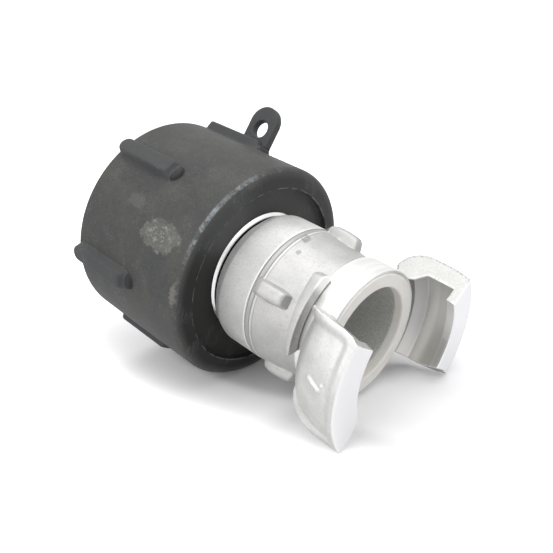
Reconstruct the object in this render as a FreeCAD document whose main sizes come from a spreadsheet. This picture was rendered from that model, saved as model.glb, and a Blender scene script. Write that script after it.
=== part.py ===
import FreeCAD, Part
import os
from types import SimpleNamespace

import Sketcher
from FreeCAD import Placement, Rotation, Vector

# Tank adapter with a symmetrical hose coupling. Millimetres, +Z along the bore from the cap nut's
# open mouth to the claws, origin on the axis at the mouth, claws on the X axis.

document = FreeCAD.newDocument("HoseCoupling")
sheet = document.addObject("Spreadsheet::Sheet", "Sizes")

drivingSizes = {
    # flow way and running clearances
    "boreRadius": 24.9,
    "runningGap": 0.1,
    "openGap": 0.3,
    # moulded cap nut
    "nutRadius": 57.5,
    "nutShoulder": 78.7,
    "nutHeight": 81.2,
    "nutThreadRadius": 50.2,
    "nutThreadDepth": 52.0,
    "nutSeatRadius": 46.5,
    "nutWall": 9.0,
    "recessRadius": 47.4,
    "recessDepth": 4.2,
    "ribCount": 6,
    "nutRound": 2.2,
    "nutParked": 1,
    "ribRise": 4.9,
    "ribWidth": 10.0,
    "ribStart": 0.4,
    "ribLength": 45.5,
    "ribCorner": 1.6,
    "ribDraft": 14,
    "ribRound": 1.2,
    "ribFoot": 0.6,
    "eyeletAngle": 58.5,
    "eyeletReach": 14.5,
    "eyeletHeight": 36.0,
    "eyeletRadius": 9.3,
    "eyeletHole": 4.6,
    "eyeletHoleDrop": 3.5,
    "eyeletThick": 4.6,
    # flanged nipple, its seals and washers
    "nippleFlange": 45.8,
    "nippleFlangeThick": 6.8,
    "nippleRadius": 29.75,
    "nippleGrip": 11.4,
    "slipRingThick": 1.0,
    "slipRingRadius": 43.0,
    "mouthGasketThick": 4.0,
    "mouthGasketBore": 30.0,
    "washerThick": 1.6,
    "washerRadius": 33.3,
    "jointRingThick": 2.0,
    # threaded socket
    "socketRadius": 35.4,
    "socketLength": 24.4,
    "socketRound": 4.3,
    # lock ring
    "ringLength": 30.0,
    "ringRim": 35.6,
    "ringRimWidth": 3.4,
    "ringBarrel": 34.9,
    "ringNose": 31.7,
    "rimStep": 0.6,
    "lugTop": 39.9,
    "lugWidth": 6.6,
    "lugLength": 20.6,
    "lugRise": 2.2,
    "lugSlope": 1.3,
    "lugCrown": 23,
    "lugRound": 1.6,
    "lugCount": 4,
    "camRadius": 39.7,
    "camSpan": 62,
    "camThick": 6.4,
    "camRise": 4.2,
    "camSkirt": 2.5,
    "skirtGap": 0.5,
    "ringTurn": 110,
    "ringParked": 61,
    "slotDepth": 4.4,
    "slotPlay": 7.0,
    "stopPinRadius": 1.5,
    "stopPinLength": 9.0,
    "stopPinGrip": 5.0,
    "pinFit": 0.05,
    "stopPinCircle": 32.1,
    "stopPinAngle": 285,
    # claw head and face gasket
    "neckRadius": 28.5,
    "headRadius": 33.4,
    "headThick": 14.9,
    "gasketRadius": 31.7,
    "gasketGroove": 4.2,
    "gasketThick": 5.0,
    "clawSpan": 65,
    "clawRadius": 51.6,
    "clawFrontRadius": 50.6,
    "clawReach": 22.9,
    "lipThick": 5.4,
    "lipRadius": 34.8,
    "clawInside": 42.8,
    "clawFrontInside": 41.8,
    "clawFoot": 38.6,
    "clawFootHeight": 3.0,
    "clawFootStep": 1.2,
    "clawRoot": 4.4,
    "clawBack": 3.6,
    "clawBackRound": 15.5,
    "panelDepth": 1.3,
    "panelWidth": 13.7,
    "panelSpan": 49,
    "panelTurn": -3,
    "panelRound": 7.0,
    "frontBorder": 4.5,
}

for row, (alias, value) in enumerate(drivingSizes.items(), 1):
    sheet.set("A%d" % row, alias)
    sheet.set("B%d" % row, str(value))
    sheet.setAlias("B%d" % row, alias)
document.recompute()


# A size knows its value and the sheet formula that gives it, so sketches stay bound to the sheet.
class Size:
    def __init__(self, value, formula):
        self.value = value
        self.formula = formula

    def __add__(self, other):
        other = asSize(other)
        return Size(self.value + other.value, "(%s + %s)" % (self.formula, other.formula))

    def __sub__(self, other):
        other = asSize(other)
        return Size(self.value - other.value, "(%s - %s)" % (self.formula, other.formula))

    def __mul__(self, other):
        other = asSize(other)
        return Size(self.value * other.value, "(%s * %s)" % (self.formula, other.formula))

    def __neg__(self):
        return Size(-self.value, "(-%s)" % self.formula)

    def __truediv__(self, other):
        other = asSize(other)
        return Size(self.value / other.value, "(%s / %s)" % (self.formula, other.formula))


def asSize(number):
    return number if isinstance(number, Size) else Size(float(number), repr(float(number)))


size = SimpleNamespace()
for alias, value in drivingSizes.items():
    setattr(size, alias, Size(float(value), "Sizes." + alias))

# heights that line the pieces up, from the mouth to the claws
recessFloor = size.nutHeight - size.recessDepth
wallInside = recessFloor - size.nutWall
ribTop = size.nutRadius + size.ribRise
eyeletCentre = size.nutRadius + size.eyeletReach
flangeFront = wallInside - size.openGap - size.slipRingThick
flangeRear = flangeFront - size.nippleFlangeThick
washerRear = recessFloor + size.openGap
socketRear = washerRear + size.washerThick
nippleEnd = socketRear + size.nippleGrip
neckEnd = nippleEnd + size.jointRingThick
socketFront = socketRear + size.socketLength
ringRear = socketFront + size.openGap
ringFront = ringRear + size.ringLength
headRear = ringFront + size.openGap
headFront = headRear + size.headThick
lipFront = headFront + size.clawReach
panelFront = lipFront - size.frontBorder
panelRear = panelFront - size.panelWidth


def newBody(label):
    body = document.addObject("PartDesign::Body", label)
    body.Label = label
    return body


def originPlane(body, role):
    return next(feature for feature in body.Origin.OriginFeatures if feature.Role == role)


# A sketch on one of the body's own planes. An axial one can be turned about the part's axis.
def newSketch(body, name, role="XZ_Plane", turn=None, height=None):
    sketch = body.newObject("Sketcher::SketchObject", name)
    sketch.AttachmentSupport = [(originPlane(body, role), "")]
    sketch.MapMode = "FlatFace"
    if turn is not None:
        sketch.AttachmentOffset = Placement(Vector(0, 0, 0), Rotation(Vector(0, 1, 0), turn.value))
        sketch.setExpression("AttachmentOffset.Rotation.Angle", turn.formula)
    if height is not None:
        sketch.setExpression("AttachmentOffset.Base.z", height.formula)
    return sketch


# One coordinate of a sketch point, held by the sheet or by the axis it lies on.
def holdPoint(sketch, geometry, end, across, up):
    for kind, wanted, axis in (("DistanceX", asSize(across), -2), ("DistanceY", asSize(up), -1)):
        if abs(wanted.value) < 1e-9:
            sketch.addConstraint(Sketcher.Constraint("PointOnObject", geometry, end, axis))
            continue
        index = sketch.addConstraint(Sketcher.Constraint(kind, -1, 1, geometry, end, wanted.value))
        sketch.setExpression("Constraints[%d]" % index, wanted.formula)


# Round run between two points, counter-clockwise, with its centre on the left of the way along.
def arcBetween(start, end, radius):
    half = (end - start) * 0.5
    lift = (radius**2 - half.Length**2) ** 0.5 if radius > half.Length else 0.0
    centre = start + half + Vector(-half.y, half.x, 0) * (lift / half.Length)
    angles = [(point - centre).getAngle(Vector(1, 0, 0)) for point in (start, end)]
    angles = [-angle if point.y < centre.y else angle for angle, point in zip(angles, (start, end))]
    return Part.ArcOfCircle(Part.Circle(centre, Vector(0, 0, 1), radius), *angles)


# Closed outline through points given as (across, up) sizes. A third size, where there is one, is
# the radius of the round run that leaves the point counter-clockwise. Other runs are straight.
def drawOutline(sketch, points):
    ends = [Vector(asSize(point[0]).value, asSize(point[1]).value, 0) for point in points]
    first = sketch.GeometryCount
    count = len(points)
    for start, point in enumerate(points):
        end = ends[(start + 1) % count]
        if len(point) == 3:
            sketch.addGeometry(arcBetween(ends[start], end, point[2].value), False)
        else:
            sketch.addGeometry(Part.LineSegment(ends[start], end), False)
    for start in range(count):
        following = first + (start + 1) % count
        sketch.addConstraint(Sketcher.Constraint("Coincident", first + start, 2, following, 1))
    for start, point in enumerate(points):
        holdPoint(sketch, first + start, 1, point[0], point[1])
        if len(point) == 3:
            index = sketch.addConstraint(Sketcher.Constraint("Radius", first + start, point[2].value))
            sketch.setExpression("Constraints[%d]" % index, point[2].formula)


def drawCircle(sketch, across, up, radius):
    radius = asSize(radius)
    centre = Vector(asSize(across).value, asSize(up).value, 0)
    circle = sketch.addGeometry(Part.Circle(centre, Vector(0, 0, 1), radius.value), False)
    holdPoint(sketch, circle, 3, across, up)
    index = sketch.addConstraint(Sketcher.Constraint("Radius", circle, radius.value))
    sketch.setExpression("Constraints[%d]" % index, radius.formula)


def turned(body, name, points, angle=360, cut=False, turn=None):
    sketch = newSketch(body, name + "Outline", turn=turn)
    drawOutline(sketch, points)
    feature = body.newObject("PartDesign::Groove" if cut else "PartDesign::Revolution", name)
    feature.Profile = sketch
    feature.ReferenceAxis = (sketch, ["V_Axis"])
    angle = asSize(angle)
    feature.Angle = angle.value
    if angle.value < 360:
        feature.Midplane = True
        feature.setExpression("Angle", angle.formula)
    document.recompute()
    return feature


def padded(body, name, sketch, length, midplane=True, cut=False, draft=None):
    feature = body.newObject("PartDesign::Pocket" if cut else "PartDesign::Pad", name)
    feature.Profile = sketch
    feature.Midplane = midplane
    feature.Length = length.value
    feature.setExpression("Length", length.formula)
    if draft is not None:
        feature.setExpression("TaperAngle", draft.formula)
    document.recompute()
    return feature


def ringPattern(body, name, features, count):
    pattern = body.newObject("PartDesign::PolarPattern", name)
    pattern.Originals = features
    pattern.Axis = (originPlane(body, "Z_Axis"), [""])
    pattern.Angle = 360
    pattern.Occurrences = int(asSize(count).value)
    if isinstance(count, Size):
        pattern.setExpression("Occurrences", count.formula)
    body.Tip = pattern
    document.recompute()
    return pattern


def edgesWhere(feature, wanted):
    return ["Edge%d" % number for number, edge in enumerate(feature.Shape.Edges, 1) if wanted(edge)]


def rounded(body, name, feature, edges, radius, kind="Fillet"):
    dressing = body.newObject("PartDesign::" + kind, name)
    dressing.Base = (feature, edges)
    key = "Radius" if kind == "Fillet" else "Size"
    setattr(dressing, key, asSize(radius).value)
    dressing.setExpression(key, asSize(radius).formula)
    body.Tip = dressing
    document.recompute()
    return dressing


# Radius from the axis and height of every corner of an edge.
def edgeCorners(edge):
    return [(Vector(v.X, v.Y, 0).Length, v.Z) for v in edge.Vertexes]


def circleAt(radius, height):
    radius, height = asSize(radius).value, asSize(height).value
    return lambda edge: (
        isinstance(edge.Curve, Part.Circle)
        and abs(edge.Curve.Radius - radius) < 0.01
        and abs(edge.Curve.Center.z - height) < 0.01
    )


# Cap nut: barrel and front wall in one turned outline, drafted grip ribs, an eyelet on one rib.
def makeCapNut():
    body = newBody("cap_nut")
    barrel = turned(body, "Barrel", [
        (size.nutThreadRadius, 0),
        (size.nutRadius, 0),
        (size.nutRadius, size.nutShoulder),
        (size.recessRadius, size.nutHeight),
        (size.recessRadius, recessFloor),
        (size.nippleRadius + size.runningGap, recessFloor),
        (size.nippleRadius + size.runningGap, wallInside),
        (size.nutSeatRadius, wallInside),
        (size.nutSeatRadius, size.nutThreadDepth),
        (size.nutThreadRadius, size.nutThreadDepth),
    ])
    shoulder = edgesWhere(barrel, circleAt(size.nutRadius, size.nutShoulder))
    rounded(body, "ShoulderRound", barrel, shoulder, size.nutRound)
    half = size.ribWidth / 2
    ribOutline = newSketch(body, "RibOutline", role="YZ_Plane", height=size.nutRadius - size.ribFoot)
    drawOutline(ribOutline, [
        (-half, size.ribStart + half, half),
        (0, size.ribStart, half),
        (half, size.ribStart + half),
        (half, size.ribLength - size.ribCorner),
        (half - size.ribCorner, size.ribLength),
        (size.ribCorner - half, size.ribLength),
        (-half, size.ribLength - size.ribCorner),
    ])
    ribHeight = size.ribRise + size.ribFoot
    rib = padded(body, "Rib", ribOutline, ribHeight, midplane=False, draft=-size.ribDraft)
    ribs = ringPattern(body, "Ribs", [rib], size.ribCount)
    top = ribTop.value - size.ribRound.value

    def roundRibTop(edge):
        return all(radius > top for radius, height in edgeCorners(edge))

    rounded(body, "RibRound", ribs, edgesWhere(ribs, roundRibTop), size.ribRound, kind="Chamfer")
    addEyelet(body)
    body.Placement = Placement(Vector(0, 0, 0), Rotation(Vector(0, 0, 1), size.nutParked.value))


# Tether eyelet: a flat tongue that grows out of one rib, with a round head and a hole across it.
def addEyelet(body):
    foot = size.nutRadius - size.ribFoot
    tongue = newSketch(body, "EyeletOutline", turn=size.eyeletAngle)
    drawOutline(tongue, [
        (foot, size.eyeletHeight - size.eyeletRadius),
        (eyeletCentre, size.eyeletHeight - size.eyeletRadius, size.eyeletRadius),
        (eyeletCentre + size.eyeletRadius, size.eyeletHeight, size.eyeletRadius),
        (eyeletCentre, size.eyeletHeight + size.eyeletRadius),
        (foot, size.eyeletHeight + size.eyeletRadius),
    ])
    padded(body, "Eyelet", tongue, size.eyeletThick)
    hole = newSketch(body, "EyeletHoleOutline", turn=size.eyeletAngle)
    drawCircle(hole, eyeletCentre - size.eyeletHoleDrop, size.eyeletHeight, size.eyeletHole)
    padded(body, "EyeletHole", hole, size.eyeletThick * 2, cut=True)


# Flat and turned rings that seal, guide or space the pieces.
def makeRing(label, inner, outer, rear, thick):
    front = rear + thick
    corners = [(inner, rear), (outer, rear), (outer, front), (inner, front)]
    turned(newBody(label), label + "Ring", corners)


def makeNipple():
    body = newBody("flanged_nipple")
    turned(body, "Nipple", [
        (size.boreRadius, flangeRear),
        (size.nippleFlange, flangeRear),
        (size.nippleFlange, flangeFront),
        (size.nippleRadius, flangeFront),
        (size.nippleRadius, nippleEnd),
        (size.boreRadius, nippleEnd),
    ])
    return body


# Threaded socket: takes the nipple at the rear and the claw head's neck at the front.
def makeSocket():
    body = newBody("threaded_socket")
    stepHeight = nippleEnd + size.jointRingThick / 2
    tube = turned(body, "Tube", [
        (size.nippleRadius + size.runningGap, socketRear),
        (size.socketRadius, socketRear),
        (size.socketRadius, socketFront),
        (size.neckRadius + size.runningGap, socketFront),
        (size.neckRadius + size.runningGap, stepHeight),
        (size.nippleRadius + size.runningGap, stepHeight),
    ])
    rear = edgesWhere(tube, circleAt(size.socketRadius, socketRear))
    rounded(body, "RearRound", tube, rear, size.socketRound)
    seat = newSketch(body, "StopPinSeatOutline", role="XY_Plane", height=socketFront)
    drawCircle(seat, size.stopPinCircle, 0, size.stopPinRadius + size.pinFit)
    padded(body, "StopPinSeat", seat, size.stopPinGrip, midplane=False, cut=True)
    body.Placement = Placement(Vector(0, 0, 0), Rotation(Vector(0, 0, 1), size.stopPinAngle.value))


# Dowel in the socket's front face that runs in the lock ring's slot and ends its turn.
def makeStopPin():
    body = newBody("stop_pin")
    outline = newSketch(body, "PinOutline", role="XY_Plane", height=socketFront - size.stopPinGrip)
    drawCircle(outline, size.stopPinCircle, 0, size.stopPinRadius)
    padded(body, "Pin", outline, size.stopPinLength, midplane=False)
    body.Placement = Placement(Vector(0, 0, 0), Rotation(Vector(0, 0, 1), size.stopPinAngle.value))


# Block swept up a few degrees of helix, starting where its own sketch is turned to.
def helixSwept(body, name, sketch, rise, span):
    feature = body.newObject("PartDesign::AdditiveHelix", name)
    feature.Profile = sketch
    feature.ReferenceAxis = (sketch, ["V_Axis"])
    feature.Mode = "height-turns-angle"
    feature.Height = rise.value
    feature.Turns = span.value / 360
    feature.Angle = 0
    feature.setExpression("Height", rise.formula)
    feature.setExpression("Turns", (span / 360).formula)
    document.recompute()
    return feature


# Lock ring: a turned sleeve, grip lugs, and a pair of cams whose rear faces climb round the ring.
def makeLockRing():
    body = newBody("lock_ring")
    sleeve = turned(body, "Sleeve", [
        (size.neckRadius + size.runningGap, ringRear),
        (size.ringRim, ringRear),
        (size.ringRim, ringRear + size.ringRimWidth),
        (size.ringBarrel, ringRear + size.ringRimWidth + size.rimStep),
        (size.ringNose, ringFront),
        (size.neckRadius + size.runningGap, ringFront),
    ])
    camOutline = newSketch(body, "CamOutline", turn=asSize(90) - size.camSpan / 2)
    camFoot = ringFront + size.camSkirt - size.camThick
    drawOutline(camOutline, [
        (size.ringNose - size.rimStep * 2, camFoot),
        (size.camRadius, camFoot),
        (size.camRadius, camFoot + size.camThick + size.camRise),
        (size.ringNose - size.rimStep * 2, camFoot + size.camThick + size.camRise),
    ])
    cam = helixSwept(body, "Cam", camOutline, size.camRise, size.camSpan)
    ringPattern(body, "Cams", [cam], 2)
    beyond = ringFront + size.camSkirt + size.camThick * 2
    turned(body, "CamFront", [
        (size.neckRadius - size.openGap, ringFront),
        (size.headRadius + size.skirtGap, ringFront),
        (size.headRadius + size.skirtGap, ringFront + size.camSkirt),
        (size.camRadius + size.skirtGap, ringFront + size.camSkirt),
        (size.camRadius + size.skirtGap, beyond),
        (size.neckRadius - size.openGap, beyond),
    ], cut=True)
    lugOutline = newSketch(body, "LugOutline")
    lugRear = ringRear + size.openGap * 2
    lugFront = lugRear + size.lugLength
    drawOutline(lugOutline, [
        (size.ringNose - size.rimStep, lugRear),
        (size.ringRim, lugRear),
        (size.lugTop - size.lugSlope, lugRear + size.lugRise, size.lugCrown),
        (size.lugTop - size.lugSlope * 2, lugFront - size.lugRise),
        (size.ringNose, lugFront),
        (size.ringNose - size.rimStep, lugFront),
    ])
    lug = padded(body, "Lug", lugOutline, size.lugWidth)
    lugs = ringPattern(body, "Lugs", [lug], size.lugCount)
    crown = size.lugTop.value - size.lugSlope.value * 2 - size.rimStep.value / 2
    belowCam = ringFront.value + size.camSkirt.value - size.camThick.value

    def roundLugTop(edge):
        return all(radius > crown and height < belowCam for radius, height in edgeCorners(edge))

    rounded(body, "LugRound", lugs, edgesWhere(lugs, roundLugTop), size.lugRound)
    pinReach = size.stopPinRadius + size.openGap
    slotEnd = size.stopPinAngle - size.ringParked
    slotOutline = newSketch(body, "StopSlotOutline", turn=slotEnd - size.ringTurn / 2)
    drawOutline(slotOutline, [
        (size.stopPinCircle - pinReach, ringRear),
        (size.stopPinCircle + pinReach, ringRear),
        (size.stopPinCircle + pinReach, ringRear + size.slotDepth),
        (size.stopPinCircle - pinReach, ringRear + size.slotDepth),
    ])
    slot = body.newObject("PartDesign::Groove", "StopSlot")
    slot.Profile = slotOutline
    slot.ReferenceAxis = (slotOutline, ["V_Axis"])
    slot.Midplane = True
    slot.setExpression("Angle", (size.ringTurn + size.slotPlay).formula)
    body.Placement = Placement(Vector(0, 0, 0), Rotation(Vector(0, 0, 1), size.ringParked.value))


# Claw head: a flanged neck with two hooked claws. Each claw is a turned hook with a rounded back
# and a sunken panel on its outer face.
def makeClawHead():
    body = newBody("claw_head")
    turned(body, "Head", [
        (size.boreRadius, neckEnd),
        (size.neckRadius, neckEnd),
        (size.neckRadius, headRear),
        (size.headRadius, headRear),
        (size.headRadius, headFront),
        (size.gasketRadius + size.runningGap, headFront),
        (size.gasketRadius + size.runningGap, headFront - size.gasketGroove),
        (size.boreRadius, headFront - size.gasketGroove),
    ])
    rootRadius = size.headRadius - size.rimStep
    lipRear = lipFront - size.lipThick
    back = headRear + size.clawBack
    claw = turned(body, "Claw", [
        (rootRadius, back),
        (size.clawRadius - size.clawBackRound, back, size.clawBackRound),
        (size.clawRadius, back + size.clawBackRound),
        (size.clawFrontRadius, lipFront),
        (size.lipRadius, lipFront),
        (size.lipRadius - size.rimStep, lipRear),
        (size.clawFrontInside, lipRear),
        (size.clawInside, headFront + size.clawFootHeight),
        (size.clawFoot, headFront - size.clawFootStep),
        (size.clawFoot - size.clawFootStep, headFront - size.clawRoot),
        (rootRadius, headFront - size.clawRoot),
    ], angle=size.clawSpan)
    panel = sinkPanel(body)
    claws = ringPattern(body, "Claws", [claw, panel], 2)
    corner = panelRear.value

    def panelHeelCorner(edge):
        corners = edgeCorners(edge)
        middle = edge.CenterOfMass
        return middle.x * middle.y > 0 and len(corners) == 2 and all(
            abs(height - corner) < 0.01 and radius > size.clawInside.value for radius, height in corners
        ) and abs(corners[0][0] - corners[1][0]) > size.panelDepth.value / 2

    rounded(body, "PanelRound", claws, edgesWhere(claws, panelHeelCorner), size.panelRound)


# Sunken field on the claw's outer face, inside a raised border.
def sinkPanel(body):
    def faceRadius(height):
        heel = headRear + size.clawBack + size.clawBackRound
        taper = (size.clawRadius - size.clawFrontRadius) / (lipFront - heel)
        return size.clawRadius - taper * (height - heel)

    sketch = newSketch(body, "PanelOutline", turn=size.panelTurn)
    drawOutline(sketch, [
        (faceRadius(panelRear) - size.panelDepth, panelRear),
        (size.clawRadius + size.panelDepth, panelRear),
        (size.clawRadius + size.panelDepth, panelFront),
        (faceRadius(panelFront) - size.panelDepth, panelFront),
    ])
    groove = body.newObject("PartDesign::Groove", "Panel")
    groove.Profile = sketch
    groove.ReferenceAxis = (sketch, ["V_Axis"])
    groove.Midplane = True
    groove.setExpression("Angle", size.panelSpan.formula)
    document.recompute()
    return groove


makeCapNut()
gasketRear = flangeRear - size.mouthGasketThick
makeRing("mouth_gasket", size.mouthGasketBore, size.nippleFlange, gasketRear, size.mouthGasketThick)
makeNipple()
slipRingBore = size.nippleRadius + size.openGap
makeRing("slip_ring", slipRingBore, size.slipRingRadius, flangeFront, size.slipRingThick)
washerBore = size.nippleRadius + size.runningGap
makeRing("thrust_washer", washerBore, size.washerRadius, washerRear, size.washerThick)
makeSocket()
makeStopPin()
jointRingBore = size.boreRadius + size.openGap
jointRingEdge = size.neckRadius - size.runningGap
makeRing("joint_ring", jointRingBore, jointRingEdge, nippleEnd, size.jointRingThick)
makeLockRing()
makeClawHead()
makeRing("face_gasket", size.boreRadius, size.gasketRadius, headFront - size.gasketGroove, size.gasketThick)

document.recompute()
for item in document.Objects:
    if "Invalid" in item.State or "Error" in item.State:
        raise RuntimeError("%s did not build: %s" % (item.Label, item.State))
    if item.TypeId in ("PartDesign::Pocket", "PartDesign::Groove"):
        if item.Shape.Volume > item.BaseFeature.Shape.Volume - 1:
            raise RuntimeError("%s cuts nothing away" % item.Label)
bodies = [item for item in document.Objects if item.TypeId == "PartDesign::Body"]
for body in bodies:
    if body.Shape.isNull() or not body.Shape.isValid():
        raise RuntimeError("%s has no sound shape" % body.Label)

os.makedirs("parts", exist_ok=True)
for body in bodies:
    body.Shape.exportStep("parts/%s.step" % body.Label)
    box = body.Shape.BoundBox
    print("%-16s %d solids %10.1f mm3  z %.2f to %.2f" % (
        body.Label, len(body.Shape.Solids), body.Shape.Volume, box.ZMin, box.ZMax))
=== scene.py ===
import math

import bmesh
import bpy
import numpy as np
from mathutils import Matrix, Vector


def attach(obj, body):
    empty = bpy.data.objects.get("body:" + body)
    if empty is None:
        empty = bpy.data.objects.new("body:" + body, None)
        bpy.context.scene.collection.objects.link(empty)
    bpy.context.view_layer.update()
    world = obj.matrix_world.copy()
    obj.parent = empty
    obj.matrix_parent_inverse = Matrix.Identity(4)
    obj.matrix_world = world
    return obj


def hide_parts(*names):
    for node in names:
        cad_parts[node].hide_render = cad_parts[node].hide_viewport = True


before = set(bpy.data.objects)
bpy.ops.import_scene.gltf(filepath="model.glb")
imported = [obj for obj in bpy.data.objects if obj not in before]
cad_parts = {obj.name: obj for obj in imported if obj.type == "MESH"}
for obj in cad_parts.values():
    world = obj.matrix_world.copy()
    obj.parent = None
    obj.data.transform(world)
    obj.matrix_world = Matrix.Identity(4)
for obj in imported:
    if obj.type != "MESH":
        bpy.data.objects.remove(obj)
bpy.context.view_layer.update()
mm = 0.001
scene = bpy.context.scene

# camera, in millimetres of the part's own frame
view = {
    "place": (-236.32, 177.84, 298.27),
    "aim": (1.85, 2.52, 87.42),
    "up": (0.28267, 0.86996, -0.40406),
    "lens": 46.583,
}
# the floor the coupling lies on: it touches the nut's shoulder and two corners of the claws
floor = {"touch": (3.18, -57.41, 78.7), "up": (-0.0529, 0.9544, -0.2938), "size": 3000}


def addObject(name, data):
    made = bpy.data.objects.new(name, data)
    scene.collection.objects.link(made)
    return made


def placeCamera():
    back = (Vector(view["place"]) - Vector(view["aim"])).normalized()
    right = Vector(view["up"]).cross(back).normalized()
    up = back.cross(right)
    turn = Matrix((right, up, back)).transposed().to_4x4()
    data = bpy.data.cameras.new("camera")
    data.lens = view["lens"]
    data.clip_end = 20
    scene.camera = addObject("camera", data)
    scene.camera.matrix_world = Matrix.Translation(Vector(view["place"]) * mm) @ turn


placeCamera()
print("camera placed")


# links a node's socket to another one, or gives it a value
def plug(tree, socket, value):
    source = getattr(value, "socket", value)
    if isinstance(source, bpy.types.NodeSocket):
        tree.links.new(source, socket)
    elif value is not None:
        socket.default_value = (*value, 1) if socket.type == "RGBA" else value


# any node: its settings first, then its sockets by number or by name
def addNode(tree, kind, settings, numbered, named):
    made = tree.nodes.new(kind)
    for key, setting in (settings or {}).items():
        setattr(made, key, setting)
    for key, value in enumerate(numbered):
        plug(tree, made.inputs[key], value)
    for key, value in named.items():
        plug(tree, made.inputs[key.replace("_", " ")], value)
    return made


# a method that makes a maths node of a value and what it meets
def arithmetic(kind, swapped=False):
    def apply(self, *others):
        return self.finish.maths(kind, *((*others, self) if swapped else (self, *others)))
    return apply


# a shader socket that takes arithmetic
class Value:
    __add__ = __radd__ = arithmetic("ADD")
    __sub__, __rsub__ = arithmetic("SUBTRACT"), arithmetic("SUBTRACT", True)
    __mul__ = __rmul__ = arithmetic("MULTIPLY")
    __truediv__, __pow__, __abs__ = arithmetic("DIVIDE"), arithmetic("POWER"), arithmetic("ABSOLUTE")

    def __init__(self, finish, socket):
        self.finish = finish
        self.socket = socket


class Finish:
    # one material, built from the object's own coordinates, in millimetres
    def __init__(self, name):
        self.material = bpy.data.materials.new(name)
        self.material.use_nodes = True
        self.tree = self.material.node_tree
        self.shader = self.tree.nodes["Principled BSDF"]
        place = self.node("TexCoord", output="Object")
        self.place = self.node("VectorMath", {"operation": "SCALE"}, Vector=place, Scale=1 / mm)
        parts = self.node("SeparateXYZ", Vector=self.place, output=None)
        self.x, self.y, self.z = (Value(self, parts.outputs[axis]) for axis in "XYZ")
        self.radius = (self.x * self.x + self.y * self.y) ** 0.5
        # turn about the axis in degrees, from -180 to 180 and from 0 to 360
        self.turn = self.maths("ARCTAN2", self.y, self.x) * (180 / math.pi)
        self.around = self.maths("WRAP", self.turn, 360, 0)

    def node(self, kind, settings=None, *numbered, output=0, **named):
        made = addNode(self.tree, "ShaderNode" + kind, settings, numbered, named)
        return made if output is None else Value(self, made.outputs[output])

    def maths(self, operation, *sockets):
        return self.node("Math", {"operation": operation}, *sockets)

    def ease(self, value, low, high):
        return self.node("MapRange", {"interpolation_type": "SMOOTHSTEP"}, value, low, high)

    # a soft-edged band that is 1 where value is within reach of middle
    def band(self, value, middle, reach, soft):
        return 1 - self.ease(abs(value - middle), reach, reach + soft)

    def noise(self, size, detail=3, rough=0.5, place=None, seed=0):
        return self.node(
            "TexNoise", {"noise_dimensions": "4D"}, Vector=place or self.place, W=seed,
            Scale=1 / size, Detail=detail, Roughness=rough, output="Fac")

    def cells(self, size):
        return self.node("TexVoronoi", Vector=self.place, Scale=1 / size, output="Distance")

    # coordinates unrolled round the axis, so that a pattern can run round or along the part
    def unrolled(self, around, along, across=1.0):
        return self.node("CombineXYZ", None, self.turn / around, self.z / along, self.radius / across)

    def mix(self, factor, first, second, blend="MIX"):
        made = self.node("Mix", {"data_type": "RGBA", "blend_type": blend}, output=None)
        for number, value in ((0, factor), (6, first), (7, second)):
            plug(self.tree, made.inputs[number], value)
        return Value(self, made.outputs[2])

    # 1 on the side that lies uppermost, 0 on the underside
    def upperSide(self, middle, reach):
        return self.maths(
            "MAXIMUM", self.ease(self.around, middle + reach, middle - reach), self.ease(self.around, 250, 330))

    # distance from the middle of a blemish on a turned surface, with a ragged edge
    def spot(self, blemish):
        across = (self.around - blemish["turn"]) * math.radians(blemish["radius"])
        along = self.z - blemish["height"]
        wide, tall = blemish["squeeze"]
        grain = self.noise(*blemish["grain"], seed=blemish["seed"])
        return (across * across * wide + along * along * tall) ** 0.5 + (grain - 0.5) * blemish["ragged"]

    def bump(self, height, depth, strength=1.0, under=None):
        return self.node(
            "Bump", None, Height=height, Distance=depth * mm, Strength=strength, Normal=under,
            output="Normal")

    def feed(self, **sockets):
        for name, value in sockets.items():
            plug(self.tree, self.shader.inputs[name.replace("_", " ")], value)
        return self.material


# meshes

def smoothBelow(mesh, angle):
    mesh.shade_smooth()
    mesh.set_sharp_from_angle(angle=math.radians(angle))


def pieceFrom(name, points, faces, smooth=30, marks=None):
    mesh = bpy.data.meshes.new(name)
    mesh.from_pydata((np.array(points, float) * mm).tolist(), [], faces)
    for label, values in (marks or {}).items():
        mesh.attributes.new(label, "FLOAT", "POINT").data.foreach_set("value", np.asarray(values, float))
    shape = bmesh.new()
    shape.from_mesh(mesh)
    bmesh.ops.remove_doubles(shape, verts=shape.verts, dist=0.002 * mm)
    bmesh.ops.recalc_face_normals(shape, faces=shape.faces)
    shape.to_mesh(mesh)
    shape.free()
    smoothBelow(mesh, smooth)
    return addObject(name, mesh)


# points on an arc about (across, up), from one angle to another
def arc(across, up, radius, start, end, count):
    return [(across + radius * math.cos(a), up + radius * math.sin(a)) for a in np.linspace(start, end, count)]


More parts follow.
